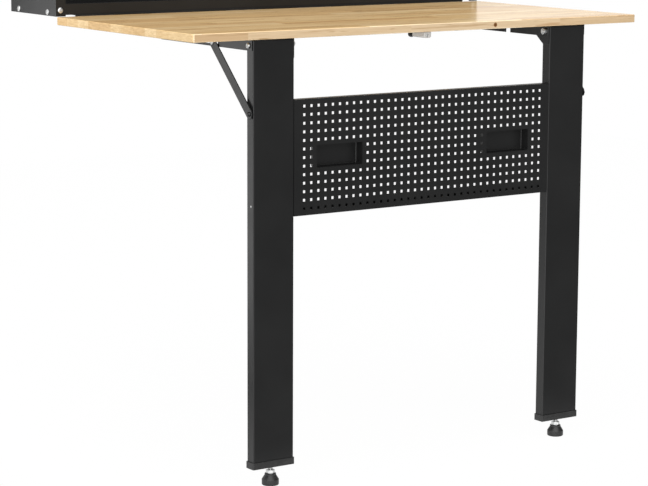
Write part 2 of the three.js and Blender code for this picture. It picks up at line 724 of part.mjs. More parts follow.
function legTube() {
  const outline = roundedRectangle(legInner, legOuter, legFront, legBack, LEG_CORNER_RADIUS);
  const inside = roundedRectangle(
    legInner + LEG_WALL,
    legOuter - LEG_WALL,
    legFront + LEG_WALL,
    legBack - LEG_WALL,
    LEG_CORNER_RADIUS - LEG_WALL,
  );
  const foot = capFloorTop + SEAT_GAP;
  const hollow = cut(alongZ(inside, foot - 1, legTop - LEG_WALL), pivotCorner(PIVOT_FROM_BACK - LEG_WALL));
  const holes = [
    rodX(pivotHole, legInner - 1, legOuter + 1, pivotY, pivotZ),
    rodX(STAY_STUD_DIAMETER / 2 + BORE_GAP, legMiddle, legOuter + 1, stayLowY, stayLowZ),
  ];
  for (const level of tabLevels) {
    holes.push(rodX(tabBoltHole, legInner - 1, legMiddle, tabBoltY, level));
  }
  return cut(alongZ(outline, foot, legTop), hollow, pivotCorner(PIVOT_FROM_BACK), ...holes);
}

function pivotSleeve() {
  const half = LEG_WIDTH / 2 - LEG_WALL - SEAT_GAP;
  const body = rodX(pivotHole + PIVOT_SLEEVE_WALL, -half, half, 0, 0);
  return cut(body, rodX(pivotHole, -half - 1, half + 1, 0, 0));
}

function legCap() {
  const x0 = legInner - CAP_PROUD;
  const x1 = legOuter + CAP_PROUD;
  const y0 = legFront - CAP_PROUD;
  const y1 = legBack + CAP_PROUD;
  const outside = roundedRectangle(x0, x1, y0, y1, CAP_CORNER_RADIUS);
  const pocket = roundedRectangle(
    legInner - BORE_GAP,
    legOuter + BORE_GAP,
    legFront - BORE_GAP,
    legBack + BORE_GAP,
    LEG_CORNER_RADIUS,
  );
  const capTop = capBottom + CAP_HEIGHT;
  return cut(
    alongZ(outside, capBottom, capTop),
    alongZ(pocket, capFloorTop, capTop + 1),
    rodZ(stemHole, capBottom - 1, capTop, legMiddle, legDepthMiddle),
  );
}

function footInsert() {
  const halfWidth = INSERT_WIDTH / 2;
  const halfDepth = LEG_DEPTH / 2 - LEG_WALL - SEAT_GAP;
  const block = box(-halfWidth, halfWidth, -halfDepth, halfDepth, 0, INSERT_HEIGHT);
  return cut(block, rodZ(stemHole, -1, INSERT_HEIGHT + 1, 0, 0));
}

// Shoulder bolt on the Y axis: its collar rests on the leg, and the stay turns between collar and head
function stayBolt() {
  const collarTop = stayInner - legOuter - SEAT_GAP * 2;
  const headFoot = collarTop + STAY_THICKNESS + SEAT_GAP * 2;
  const headRadius = STAY_HEAD_DIAMETER / 2;
  return turned([
    [0, -STAY_STUD_LENGTH],
    [STAY_STUD_DIAMETER / 2, -STAY_STUD_LENGTH],
    [STAY_STUD_DIAMETER / 2, 0],
    [STAY_COLLAR_DIAMETER / 2, 0],
    [STAY_COLLAR_DIAMETER / 2, collarTop],
    [STAY_BOLT_DIAMETER / 2, collarTop],
    [STAY_BOLT_DIAMETER / 2, headFoot],
    [headRadius, headFoot],
    [headRadius * 0.86, headFoot + STAY_HEAD_HEIGHT * 0.4],
    [headRadius * 0.5, headFoot + STAY_HEAD_HEIGHT * 0.85],
    [0, headFoot + STAY_HEAD_HEIGHT],
  ]);
}

const legFrame = group('leg_frame', worktop);
for (const side of SIDES) {
  addPiece(legFrame, `${side.name}_leg`, forSide(side, legTube()), 'coat');
  addPiece(legFrame, `${side.name}_leg_cap`, forSide(side, legCap()), 'plastic');
  const sleeve = addPiece(legFrame, `${side.name}_pivot_sleeve`, pivotSleeve(), 'coat');
  sleeve.position.set(side.sign * legMiddle, pivotY, pivotZ);
  const bolt = addPiece(legFrame, `${side.name}_stay_bolt`, stayBolt(), 'coat');
  bolt.position.set(side.sign * (legOuter + SEAT_GAP), stayLowY, stayLowZ);
  pointOut(bolt, side);
  const insert = addPiece(legFrame, `${side.name}_foot_insert`, footInsert(), 'zinc');
  insert.position.set(side.sign * legMiddle, legDepthMiddle, capFloorTop + SEAT_GAP);
}

// Perforated panel with its pull cups and bolts

function holeGrid() {
  const holes = [];
  const middleRow = (holeRows + 1) / 2;
  for (let row = 1; row <= holeRows; row += 1) {
    for (let column = 1; column <= holeColumns; column += 1) {
      const fromEnd = Math.min(column, holeColumns + 1 - column);
      const inCupColumns = Math.abs(fromEnd - CUP_COLUMN) <= (CUP_COLUMNS - 1) / 2;
      const inCupRows = Math.abs(row - middleRow) <= (CUP_ROWS - 1) / 2;
      if (!(inCupColumns && inCupRows)) {
        const hole = new THREE.BoxGeometry(HOLE_SIZE, PANEL_SHEET * 4, HOLE_SIZE);
        const x = (column - (holeColumns + 1) / 2) * HOLE_PITCH;
        const z = panelMiddle + (middleRow - row) * HOLE_PITCH;
        holes.push(hole.translate(x, legFront + PANEL_SHEET / 2, z));
      }
    }
  }
  return mergeGeometries(holes);
}

// Opening of a cup, or an outline that lies outside it by a margin
function cupOutline(margin) {
  const halfWidth = CUP_WIDTH / 2 + margin;
  const halfHeight = CUP_HEIGHT / 2 + margin;
  return roundedRectangle(-halfWidth, halfWidth, -halfHeight, halfHeight, CUP_CORNER_RADIUS + margin);
}

function panelFold(edge, inward, lip) {
  const rear = legFront + PANEL_FLANGE;
  const folds = [];
  for (const [y0, height] of [[legFront, PANEL_SHEET], [rear - PANEL_SHEET, lip]]) {
    const low = Math.min(edge, edge + inward * height);
    folds.push(box(-panelFlangeHalf, panelFlangeHalf, y0, rear, low, low + height));
  }
  return folds;
}

function perforatedPanel() {
  const folds = [...panelFold(panelTop, -1, PANEL_UPPER_LIP), ...panelFold(panelBottom, 1, PANEL_LOWER_LIP)];
  const cuts = [holeGrid()];
  const endInside = panelHalf - PANEL_SHEET;
  for (const side of SIDES) {
    const opening = alongY(cupOutline(0), legFront - 1, panelRear + 1);
    cuts.push(opening.translate(side.sign * cupMiddle, 0, panelMiddle));
    const end = box(endInside, panelHalf, legFront, legFront + PANEL_END_FLANGE, panelBottom, panelTop);
    folds.push(forSide(side, end));
    for (const level of tabLevels) {
      const half = PANEL_TAB_HEIGHT / 2;
      const tab = box(endInside, panelHalf, legFront, legFront + PANEL_TAB_DEPTH, level - half, level + half);
      folds.push(forSide(side, tab));
      const hole = rodX(tabBoltHole, panelHalf - PANEL_SHEET * 2, panelHalf + 1, tabBoltY, level, SMALL_SIDES);
      cuts.push(forSide(side, hole));
    }
  }
  const sheet = box(-panelHalf, panelHalf, legFront, panelRear, panelBottom, panelTop);
  return cut(join(sheet, ...folds), ...cuts);
}

// Cup with its flange against the back of the panel
function pullCup() {
  const rim = panelRear + SEAT_GAP;
  const floorFront = legFront + CUP_DEPTH;
  const body = join(
    alongY(cupOutline(CUP_FLANGE), rim, rim + CUP_SHEET),
    alongY(cupOutline(CUP_SHEET), rim, floorFront + CUP_SHEET),
  );
  return cut(body, alongY(cupOutline(0), rim - 1, floorFront));
}

function panelBolt() {
  const head = hexagon(PANEL_BOLT_ACROSS, PANEL_BOLT_HEAD, 0);
  return join(head, rodZ(PANEL_BOLT_DIAMETER / 2, -PANEL_BOLT_LENGTH, 1, 0, 0, SMALL_SIDES));
}

addPiece(legFrame, 'perforated_panel', perforatedPanel(), 'coat');
for (const side of SIDES) {
  const cup = addPiece(legFrame, `${side.name}_pull_cup`, pullCup(), 'coat');
  cup.position.set(side.sign * cupMiddle, 0, panelMiddle);
  for (const [end, level] of [['upper', tabLevels[0]], ['lower', tabLevels[1]]]) {
    const bolt = addPiece(legFrame, `panel_bolt_${side.name}_${end}`, panelBolt(), 'coat');
    bolt.position.set(side.sign * (panelHalf - PANEL_SHEET - SEAT_GAP), tabBoltY, level);
    bolt.rotation.y = -side.sign * Math.PI / 2;
  }
}

// Stays: each bar lies along Y from its lower bolt and is turned up to its pin

function stayBar() {
  const bar = alongX(capsule(0, stayLength, STAY_WIDTH / 2), 0, STAY_THICKNESS);
  return cut(
    bar,
    rodX(STAY_BOLT_DIAMETER / 2 + BORE_GAP, -1, STAY_THICKNESS + 1, 0, 0),
    rodX(STAY_PIN_DIAMETER / 2 + BORE_GAP, -1, STAY_THICKNESS + 1, stayLength, 0),
  );
}

// Pin on the Y axis: its head rests on the stay and its end is flush with the stay's inner face
function stayPin() {
  const length = STAY_THICKNESS + SEAT_GAP;
  const headRadius = STAY_PIN_HEAD_DIAMETER / 2;
  return panScrew(STAY_PIN_DIAMETER / 2, length, headRadius, STAY_PIN_HEAD_HEIGHT, SMALL_SIDES);
}

for (const side of SIDES) {
  const stay = group(`${side.name}_stay_assembly`, legFrame);
  const bar = addPiece(stay, `${side.name}_stay`, forSide(side, stayBar()), 'coat');
  bar.position.set(side.sign * stayInner, stayLowY, stayLowZ);
  bar.rotation.x = stayAngle;
  const pin = addPiece(stay, `${side.name}_stay_pin`, stayPin(), 'zinc');
  pin.position.set(side.sign * (stayOuter + SEAT_GAP), stayTopY, stayTopZ);
  pointOut(pin, side);
}

// Levelling feet

function footPad() {
  const rim = FOOT_RIM_DIAMETER / 2;
  const base = FOOT_PAD_DIAMETER / 2;
  const rimFoot = FOOT_PAD_HEIGHT - FOOT_RIM_HEIGHT;
  const socketFloor = FOOT_PAD_HEIGHT - FOOT_SOCKET_DEPTH;
  return turned([
    [0, 0],
    [base - FOOT_PAD_ROUNDING, 0],
    [base, FOOT_PAD_ROUNDING],
    [base, FOOT_PAD_BASE],
    [rim, rimFoot],
    [rim, FOOT_PAD_HEIGHT],
    [stemHole, FOOT_PAD_HEIGHT],
    [stemHole, socketFloor],
    [0, socketFloor],
  ], PAD_SIDES);
}

for (const side of SIDES) {
  const foot = group(`${side.name}_foot`, legFrame);
  const x = side.sign * legMiddle;
  const stemFoot = padTop - FOOT_SOCKET_DEPTH + SEAT_GAP;
  const stem = rodZ(FOOT_STEM_DIAMETER / 2, stemFoot, capBottom + FOOT_STEM_INSIDE, x, legDepthMiddle);
  addPiece(foot, `${side.name}_foot_stem`, stem, 'zinc');
  const pad = addPiece(foot, `${side.name}_foot_pad`, footPad(), 'plastic');
  pad.position.set(x, legDepthMiddle, floorLevel);
  pad.rotation.x = Math.PI / 2;
  const lockNut = hexagon(FOOT_NUT_ACROSS, FOOT_NUT_HEIGHT, stemHole);
  const nut = addPiece(foot, `${side.name}_foot_nut`, lockNut, 'zinc');
  nut.position.set(x, legDepthMiddle, padTop + SEAT_GAP);
}

export default bench;
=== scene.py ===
"""Looks of the wall mounted folding workbench: a black powder-coated steel cabinet and leg frame,
a lacquered edge-glued worktop, zinc-plated fasteners and black plastic feet.

Everything is in metres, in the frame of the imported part: X along the bench, Y into the wall, Z up."""

import json
import math

import bpy
from mathutils import Matrix, Vector


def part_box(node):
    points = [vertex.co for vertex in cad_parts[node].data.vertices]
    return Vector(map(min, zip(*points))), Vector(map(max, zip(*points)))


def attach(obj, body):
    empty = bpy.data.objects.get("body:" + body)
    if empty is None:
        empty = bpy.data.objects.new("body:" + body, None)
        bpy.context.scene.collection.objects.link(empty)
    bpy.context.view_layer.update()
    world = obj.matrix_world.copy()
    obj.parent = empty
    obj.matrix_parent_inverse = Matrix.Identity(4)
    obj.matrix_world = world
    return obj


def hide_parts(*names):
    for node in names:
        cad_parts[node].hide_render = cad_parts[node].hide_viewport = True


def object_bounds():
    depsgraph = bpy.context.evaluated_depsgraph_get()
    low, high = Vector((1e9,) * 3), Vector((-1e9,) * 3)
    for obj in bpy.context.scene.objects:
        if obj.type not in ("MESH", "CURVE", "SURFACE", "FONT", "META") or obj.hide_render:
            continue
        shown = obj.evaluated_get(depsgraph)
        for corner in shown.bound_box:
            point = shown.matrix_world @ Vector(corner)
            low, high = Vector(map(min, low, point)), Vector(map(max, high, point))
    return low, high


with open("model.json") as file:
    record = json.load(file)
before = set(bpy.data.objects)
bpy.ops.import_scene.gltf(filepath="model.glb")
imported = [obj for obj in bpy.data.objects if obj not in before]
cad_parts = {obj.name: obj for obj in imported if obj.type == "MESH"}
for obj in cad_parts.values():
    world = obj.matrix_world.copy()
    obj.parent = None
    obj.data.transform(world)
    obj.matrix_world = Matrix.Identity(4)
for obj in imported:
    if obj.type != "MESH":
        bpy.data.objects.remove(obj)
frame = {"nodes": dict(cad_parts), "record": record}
nodes = frame["nodes"]
cad_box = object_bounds()
scene = bpy.context.scene
scene.view_settings.view_transform = "Standard"
SIDES = {"left": -1, "right": 1}  # and the way each side faces along X


# Materials


class Finish:
    """A node material with a Principled shader, built up by short calls."""

    def __init__(self, name):
        self.material = bpy.data.materials.new(name)
        self.material.use_nodes = True
        self.tree = self.material.node_tree
        self.shader = self.tree.nodes["Principled BSDF"]
        self.place = self.node("ShaderNodeTexCoord").outputs["Object"]

    def node(self, kind, **values):
        """A new shader node with the given settings."""
        made = self.tree.nodes.new(kind)
        for key, value in values.items():
            setattr(made, key, value)
        return made

    def link(self, out, into):
        """Joins an output to an input."""
        self.tree.links.new(out, into)

    def feed(self, socket, value):
        """Gives an input a plain value, or the output of another node."""
        if isinstance(value, bpy.types.NodeSocket):
            self.link(value, socket)
        else:
            socket.default_value = value

    def stretched(self, scale, shift=None):
        """Object coordinates, stretched along each axis and moved by another pattern."""
        mapping = self.node("ShaderNodeMapping")
        mapping.inputs["Scale"].default_value = scale
        self.link(self.place, mapping.inputs["Vector"])
        if shift is None:
            return mapping.outputs["Vector"]
        moved = self.node("ShaderNodeVectorMath", operation="ADD")
        self.link(mapping.outputs["Vector"], moved.inputs[0])
        self.link(shift, moved.inputs[1])
        return moved.outputs["Vector"]

    def noise(self, vector, detail, scale=1.0, roughness=0.55, distortion=0.0):
        """A cloudy pattern between 0 and 1."""
        made = self.node("ShaderNodeTexNoise")
        self.link(vector, made.inputs["Vector"])
        made.inputs["Scale"].default_value = scale
        made.inputs["Detail"].default_value = detail
        made.inputs["Roughness"].default_value = roughness
        made.inputs["Distortion"].default_value = distortion
        return made.outputs["Fac"]

    def math(self, operation, a, b=0.0):
        """One step of arithmetic."""
        made = self.node("ShaderNodeMath", operation=operation)
        for socket, value in zip(made.inputs, (a, b)):
            self.feed(socket, value)
        return made.outputs[0]

    def between(self, value, low, high, to_low=0.0, to_high=1.0):
        """Goes smoothly from one level to another while a value goes from low to high."""
        made = self.node("ShaderNodeMapRange")
        made.interpolation_type = "SMOOTHSTEP"
        for socket, given in zip(made.inputs, (value, low, high, to_low, to_high)):
            self.feed(socket, given)
        return made.outputs[0]

    def ramp(self, value, *stops):
        """A colour for each value, from stops of place and colour."""
        made = self.node("ShaderNodeValToRGB")
        elements = made.color_ramp.elements
        while len(elements) < len(stops):
            elements.new(0.5)
        for element, (at, colour) in zip(elements, stops):
            element.position = at
            element.color = (*colour, 1)
        self.link(value, made.inputs["Fac"])
        return made.outputs["Color"]

    def blend(self, factor, first, second, mode="MIX"):
        """Lays a second colour over a first one by a factor."""
        made = self.node("ShaderNodeMix", data_type="RGBA", blend_type=mode)
        self.feed(made.inputs["Factor"], factor)
        for socket, value in zip((made.inputs[6], made.inputs[7]), (first, second)):
            self.feed(socket, value if isinstance(value, bpy.types.NodeSocket) else (*value, 1))
        return made.outputs[2]

    def bump(self, height, strength, distance):
        """Makes the surface look raised by a pattern."""
        made = self.node("ShaderNodeBump")
        made.inputs["Strength"].default_value = strength
        made.inputs["Distance"].default_value = distance
        self.link(height, made.inputs["Height"])
        self.link(made.outputs["Normal"], self.shader.inputs["Normal"])

    def set(self, **values):
        """Sets the shader's inputs by name and gives the finished material."""
        for key, value in values.items():
            self.feed(self.shader.inputs[key.replace("_", " ")], value)
        return self.material


COAT_TONES = ((0.3, (0.0050, 0.0051, 0.0052)), (0.7, (0.0070, 0.0071, 0.0071)))
COAT_RUBBED = (0.013, 0.013, 0.013)


def powder_coat():
    """Satin black coat with a fine orange peel, faint cloudiness and pale rub marks."""
    coat = Finish("black_powder_coat")
    cloud = coat.noise(coat.place, scale=7.0, detail=4.0)
    peel = coat.noise(coat.place, scale=900.0, detail=2.0)
    rub = coat.between(coat.noise(coat.stretched((14, 14, 60)), detail=6.0, roughness=0.7), 0.66, 0.82)
    colour = coat.ramp(cloud, *COAT_TONES)
    colour = coat.blend(coat.math("MULTIPLY", rub, 0.35), colour, COAT_RUBBED)
    rough = coat.math("ADD", coat.between(cloud, 0.3, 0.7, 0.29, 0.36), coat.math("MULTIPLY", peel, 0.05))
    coat.bump(peel, strength=0.10, distance=0.0004)
    return coat.set(Base_Color=colour, Roughness=rough, Specular_IOR_Level=0.42)


ZINC_TONES = ((0.3, (0.56, 0.57, 0.58)), (0.7, (0.78, 0.78, 0.76)))


def zinc():
    """Bright zinc plate with a soft crystalline cloud and fine drawn lines."""
    plate = Finish("zinc_plate")
    cloud = plate.noise(plate.place, scale=160.0, detail=4.0)
    grain = plate.noise(plate.stretched((500, 500, 2600)), detail=2.0)
    plate.bump(grain, strength=0.08, distance=0.0002)
    rough = plate.between(cloud, 0.3, 0.7, 0.34, 0.5)
    return plate.set(Base_Color=plate.ramp(cloud, *ZINC_TONES), Metallic=1.0, Roughness=rough)


NICKEL_TONES = ((0.3, (0.52, 0.50, 0.47)), (0.7, (0.64, 0.62, 0.59)))


def satin_nickel():
    """Pale matt plating of the latch housing, clouded, with faint brushed lines along the barrel."""
    plate = Finish("satin_nickel")
    cloud = plate.noise(plate.place, scale=120.0, detail=4.0)
    brushed = plate.noise(plate.stretched((1800, 60, 1800)), detail=3.0)
    plate.bump(brushed, strength=0.1, distance=0.0002)
    rough = plate.between(brushed, 0.3, 0.7, 0.4, 0.52)
    return plate.set(Base_Color=plate.ramp(cloud, *NICKEL_TONES), Metallic=0.35, Roughness=rough)


PLASTIC_TONES = ((0.3, (0.008, 0.008, 0.008)), (0.75, (0.016, 0.016, 0.016)))


def moulded_plastic():
    """Black moulded plastic with a fine spark grain and slight scuffing."""
    plastic = Finish("moulded_plastic")
    grain = plastic.noise(plastic.place, scale=1500.0, detail=2.0)
    cloud = plastic.noise(plastic.place, scale=60.0, detail=4.0)
    plastic.bump(grain, strength=0.15, distance=0.0003)
    rough = plastic.between(cloud, 0.3, 0.7, 0.38, 0.5)
    return plastic.set(Base_Color=plastic.ramp(cloud, *PLASTIC_TONES), Roughness=rough)


STAVE_WIDTH = 0.05
STAVE_LENGTH = 0.42
BOARD_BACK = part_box("worktop_board")[1].y
KNOT_X, KNOT_Z = 0.186, -0.3125  # on the front edge
KNOT_CORE, KNOT_RIM = 0.0042, 0.0056  # radii where the knot starts to fade and is gone
KNOT_HEART = 0.0055  # radius over which its own tone grows paler

STAVE_TONES = ((0.0, (0.58, 0.378, 0.176)), (0.35, (0.64, 0.44, 0.214)),
               (0.7, (0.68, 0.486, 0.25)), (1.0, (0.725, 0.542, 0.302)))
GRAIN_TINTS = ((0.28, (0.62, 0.54, 0.45)), (0.46, (0.97, 0.96, 0.95)), (0.78, (1.1, 1.1, 1.09)))
END_RING_TINTS = ((0.3, (0.86, 0.82, 0.78)), (0.7, (1.15, 1.19, 1.26)))
KNOT_TONES = ((0.0, (0.10, 0.04, 0.012)), (1.0, (0.22, 0.10, 0.03)))
FIBRE_BROWN = (0.36, 0.21, 0.085)
FLECK_BROWN = (0.27, 0.135, 0.045)
STREAK_BROWN = (0.36, 0.175, 0.06)
PORE_BROWN = (0.34, 0.18, 0.07)
GLUE_BROWN = (0.25, 0.13, 0.05)
FRONT_EDGE_PAINTED_LIGHT = (1.26, 1.42, 1.84)  # painted light: the front edge is made paler, mostly in blue, as if lit brighter than the top
END_ROUGHNESS = (0.4, 0.4, 0.4)


def lacquered_wood():
    """Edge-glued pale hardwood: staves of differing tone, grain and flecks along X, end grain on the ends."""
    wood = Finish("lacquered_wood")
    split = wood.node("ShaderNodeSeparateXYZ")
    wood.link(wood.place, split.inputs[0])
    x, y, z = split.outputs

    row = wood.math("DIVIDE", wood.math("SUBTRACT", BOARD_BACK, y), STAVE_WIDTH)
    row_number = wood.math("FLOOR", row)
    row_chance = wood.node("ShaderNodeTexWhiteNoise", noise_dimensions="1D")
    wood.link(row_number, row_chance.inputs["W"])
    stave = wood.math("ADD", wood.math("DIVIDE", x, STAVE_LENGTH), row_chance.outputs["Value"])
    stave_number = wood.math("FLOOR", stave)
    both = wood.node("ShaderNodeCombineXYZ")
    wood.link(stave_number, both.inputs[0])
    wood.link(row_number, both.inputs[1])
    chance = wood.node("ShaderNodeTexWhiteNoise", noise_dimensions="3D")
    wood.link(both.outputs[0], chance.inputs["Vector"])
    shift = wood.node("ShaderNodeVectorMath", operation="SCALE")
    wood.link(chance.outputs["Color"], shift.inputs[0])
    shift.inputs["Scale"].default_value = 40.0
    shift = shift.outputs[0]

    waves = wood.noise(wood.stretched((2.6, 60, 60), shift), detail=5.0, roughness=0.6, distortion=1.2)
    fibres = wood.noise(wood.stretched((14, 520, 520), shift), detail=3.0, roughness=0.6)
    flecks = wood.noise(wood.stretched((16, 260, 260), shift), detail=3.0, roughness=0.5)
    streaks = wood.noise(wood.stretched((5, 55, 55), shift), detail=3.0, roughness=0.5)

    tone = wood.ramp(chance.outputs["Value"], *STAVE_TONES)
    colour = wood.blend(1.0, tone, wood.ramp(waves, *GRAIN_TINTS), "MULTIPLY")
    colour = wood.blend(wood.between(fibres, 0.3, 0.75, 0.0, 0.28), colour, FIBRE_BROWN)
    colour = wood.blend(wood.between(flecks, 0.61, 0.70, 0.0, 0.62), colour, FLECK_BROWN)
    colour = wood.blend(wood.between(streaks, 0.6, 0.72, 0.0, 0.6), colour, STREAK_BROWN)

    normal = wood.node("ShaderNodeSeparateXYZ")
    wood.link(wood.node("ShaderNodeTexCoord").outputs["Normal"], normal.inputs[0])
    end_face = wood.between(wood.math("ABSOLUTE", normal.outputs[0]), 0.6, 0.8)
    front_face = wood.between(normal.outputs[1], -0.8, -0.6, 1.0, 0.0)
    # Painted light: faces towards the front are made paler, standing in for the brighter light that falls on
    # the front edge.
    colour = wood.blend(front_face, colour, wood.blend(1.0, colour, FRONT_EDGE_PAINTED_LIGHT, "MULTIPLY"))
    pores = wood.noise(wood.stretched((0, 900, 900), shift), detail=2.0, roughness=0.6)
    rings = wood.noise(wood.stretched((0, 45, 240), shift), detail=3.0, roughness=0.6, distortion=0.8)
    end_tone = wood.blend(1.0, tone, wood.ramp(rings, *END_RING_TINTS), "MULTIPLY")
    end_tone = wood.blend(wood.between(pores, 0.58, 0.72, 0.0, 0.3), end_tone, PORE_BROWN)
    colour = wood.blend(end_face, colour, end_tone)

    long_seam = wood.between(wood.math("FRACT", row), 0.0, 0.018, 1.0, 0.0)
    butt_seam = wood.between(wood.math("FRACT", stave), 0.0, 0.002, 1.0, 0.0)
    butt_seam = wood.math("MULTIPLY", butt_seam, wood.math("SUBTRACT", 1.0, end_face))
    seam = wood.math("MAXIMUM", long_seam, butt_seam)
    colour = wood.blend(wood.math("MULTIPLY", seam, 0.4), colour, GLUE_BROWN)

    steps = wood.math("SUBTRACT", x, KNOT_X), wood.math("SUBTRACT", z, KNOT_Z)
    away = wood.math("SQRT", wood.math("ADD", *(wood.math("MULTIPLY", step, step) for step in steps)))
    knot = wood.math("MULTIPLY", wood.between(away, KNOT_CORE, KNOT_RIM, 1.0, 0.0), front_face)
    colour = wood.blend(knot, colour, wood.ramp(wood.between(away, 0.0, KNOT_HEART), *KNOT_TONES))

    height = wood.math("ADD", wood.math("MULTIPLY", fibres, 0.6), wood.math("MULTIPLY", seam, -0.6))
    wood.bump(height, strength=0.05, distance=0.0004)
    rough = wood.blend(end_face, wood.between(waves, 0.2, 0.8, 0.17, 0.25), END_ROUGHNESS)
    return wood.set(Base_Color=colour, Roughness=rough, IOR=1.22)


SLOTS = {
    "black_powder_coat": powder_coat(),
    "zinc_plated_steel": zinc(),
    "black_plastic": moulded_plastic(),
    "lacquered_wood": lacquered_wood(),
}
NICKEL = satin_nickel()
SLOT_OF = {entry["node"]: entry["material_slot"] for entry in frame["record"]["subparts"]}
BODIES = frame["record"]["behaviour"]["bodies"]
BODY_OF = {node: body for body, names in BODIES.items() for node in names}


# Ways of working on a piece

WELD = 0.000005  # corners of a turned or copied piece closer than this become one
SLIVER = 0.000004  # and corners of a bevelled piece
FLAT = math.radians(0.5)  # triangles of a copied piece that meet flatter than this become one face


def deselect():
    """Lets go of everything that is selected."""
    bpy.ops.object.select_all(action="DESELECT")


def only(piece):
    """Selects one piece alone and makes it the active one."""
    deselect()
    piece.select_set(True)
    bpy.context.view_layer.objects.active = piece


def apply_place(piece):
    """Moves a piece's place, turn and size into its mesh."""
    only(piece)
    bpy.ops.object.transform_apply(location=True, rotation=True, scale=True)


def editing(piece, mode="VERT"):
    """Goes into edit mode with all of a piece selected."""
    only(piece)
    bpy.ops.object.mode_set(mode="EDIT")
    bpy.ops.mesh.select_mode(type=mode)
    bpy.ops.mesh.select_all(action="SELECT")


def done_editing():
    bpy.ops.object.mode_set(mode="OBJECT")


def pick_edges(piece, wanted):
    """Selects the edges whose two corners pass a test, then goes on in edit mode."""
    editing(piece, "EDGE")
    bpy.ops.mesh.select_all(action="DESELECT")
    done_editing()
    corners = piece.data.vertices
    for edge in piece.data.edges:
        edge.select = wanted(*(corners[i].co for i in edge.vertices))
    bpy.ops.object.mode_set(mode="EDIT")


def modify(piece, kind, **values):
    """Adds a modifier with the given settings and applies it."""
    only(piece)
    made = piece.modifiers.new(kind.lower(), kind)
    for key, value in values.items():
        setattr(made, key, value)
    bpy.ops.object.modifier_apply(modifier=made.name)


def soften(piece, width, segments, angle=40):
    """Bevels the sharp edges and closes the slivers where bevels meet."""
    modify(piece, "BEVEL", width=width, segments=segments, limit_method="ANGLE",
           angle_limit=math.radians(angle), harden_normals=False)
    editing(piece)
    bpy.ops.mesh.remove_doubles(threshold=SLIVER)
    done_editing()


def smooth(piece, angle=35):
    """Rounds the shading over small bends and keeps the broad faces flat."""
    only(piece)
    bpy.ops.object.shade_smooth_by_angle(angle=math.radians(angle))
    modify(piece, "WEIGHTED_NORMAL", weight=100, keep_sharp=True)


def close_up(piece):
    """Welds the corners that lie together and turns the faces outwards."""
    editing(piece)
    bpy.ops.mesh.remove_doubles(threshold=WELD)
    bpy.ops.mesh.normals_make_consistent(inside=False)
    done_editing()


def keep(piece, name, body, slot, *stands_for, material=None):
    """Names a finished piece, gives it its finish and lets it ride on its body."""
    piece.name = name
    piece.data.name = name
    piece.data.materials.clear()
    piece.data.materials.append(material or SLOTS[slot])
    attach(piece, body)
    if stands_for:
        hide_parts(*stands_for)


def stand_for(piece, name, node, material=None):
    """Keeps a piece in the place of a CAD node, on its body and with its finish."""
    keep(piece, name, BODY_OF[node], SLOT_OF[node], node, material=material)


def block(low, high):
    """A box between two corners, to be shaped further or cut with."""
    deselect()
    low, high = Vector(low), Vector(high)
    bpy.ops.mesh.primitive_cube_add(size=1, location=(low + high) / 2)
    piece = bpy.context.active_object
    piece.scale = high - low
    apply_place(piece)
    return piece


def turned(rings, sides):
    """A turned piece on the Z axis: a disc drawn up ring by ring through (radius, height)."""
    deselect()
    radius, height = rings[0]
    bpy.ops.mesh.primitive_circle_add(vertices=sides, radius=radius, location=(0, 0, height),
                                      fill_type="NGON")
    piece = bpy.context.active_object
    apply_place(piece)
    editing(piece)
    for next_radius, next_height in rings[1:]:
        bpy.ops.mesh.extrude_region_move(TRANSFORM_OT_translate={"value": (0, 0, next_height - height)})
        bpy.ops.transform.resize(value=(next_radius / radius, next_radius / radius, 1))
        radius, height = next_radius, next_height
    done_editing()
    close_up(piece)
    return piece


NUT_EDGE = 0.0003
NUT_TURNING = 1.03  # radius of the chamfering tool against the nut's corners, which it clears


def hexagon(across, height, bore, chamfer):
    """A hexagon on the Z axis from zero height up, chamfered at both ends, with a bore where one is given."""
    deselect()
    corner = across / math.sqrt(3)
    bpy.ops.mesh.primitive_cylinder_add(vertices=6, radius=corner, depth=height,
                                        location=(0, 0, height / 2))
    nut = bpy.context.active_object
    apply_place(nut)
    face, stock = across / 2 - chamfer, corner * NUT_TURNING
    cone = turned([(face, 0), (stock, chamfer), (stock, height - chamfer), (face, height)], sides=48)
    cut_with(nut, cone, "INTERSECT")
    if bore:
        cut_with(nut, turned([(bore, -height), (bore, height * 2)], sides=32), "DIFFERENCE")
    soften(nut, NUT_EDGE, segments=2, angle=30)
    smooth(nut, angle=30)
    return nut


def cut_with(piece, tool, operation):
    """Cuts or joins a piece with a tool, which is used up."""
    modify(piece, "BOOLEAN", object=tool, operation=operation, solver="EXACT")
    bpy.data.objects.remove(tool)


def pointed(piece, way):
    """Turns a piece that stands on the Z axis towards the way given."""
    piece.rotation_mode = "QUATERNION"
    piece.rotation_quaternion = Vector(way).to_track_quat("Z", "Y")
    apply_place(piece)


def copied(piece, place, way=None):
    """A copy with its own mesh, turned towards a way and set in its place."""
    made = piece.copy()
    made.data = piece.data.copy()
    scene.collection.objects.link(made)
    if way is not None:
        pointed(made, way)
    made.location = place
    apply_place(made)
    return made


def node_copy(node):
    """A merged copy of a CAD node, with its flat faces whole again."""
    made = nodes[node].copy()
    made.data = nodes[node].data.copy()
    for key in list(made.keys()):
        del made[key]
    scene.collection.objects.link(made)
    made.parent = None
    made.matrix_world = Matrix.Identity(4)
    editing(made)
    bpy.ops.mesh.remove_doubles(threshold=WELD)
    bpy.ops.mesh.dissolve_limited(angle_limit=FLAT)
    done_editing()
    return made


def cross_cut(head, wing, slim, low, high):
    """Cuts the cross recess of a screw that stands on the Z axis."""
    for across, along in ((wing, slim), (slim, wing)):
        cut_with(head, block((-across, -along, low), (across, along, high)), "DIFFERENCE")


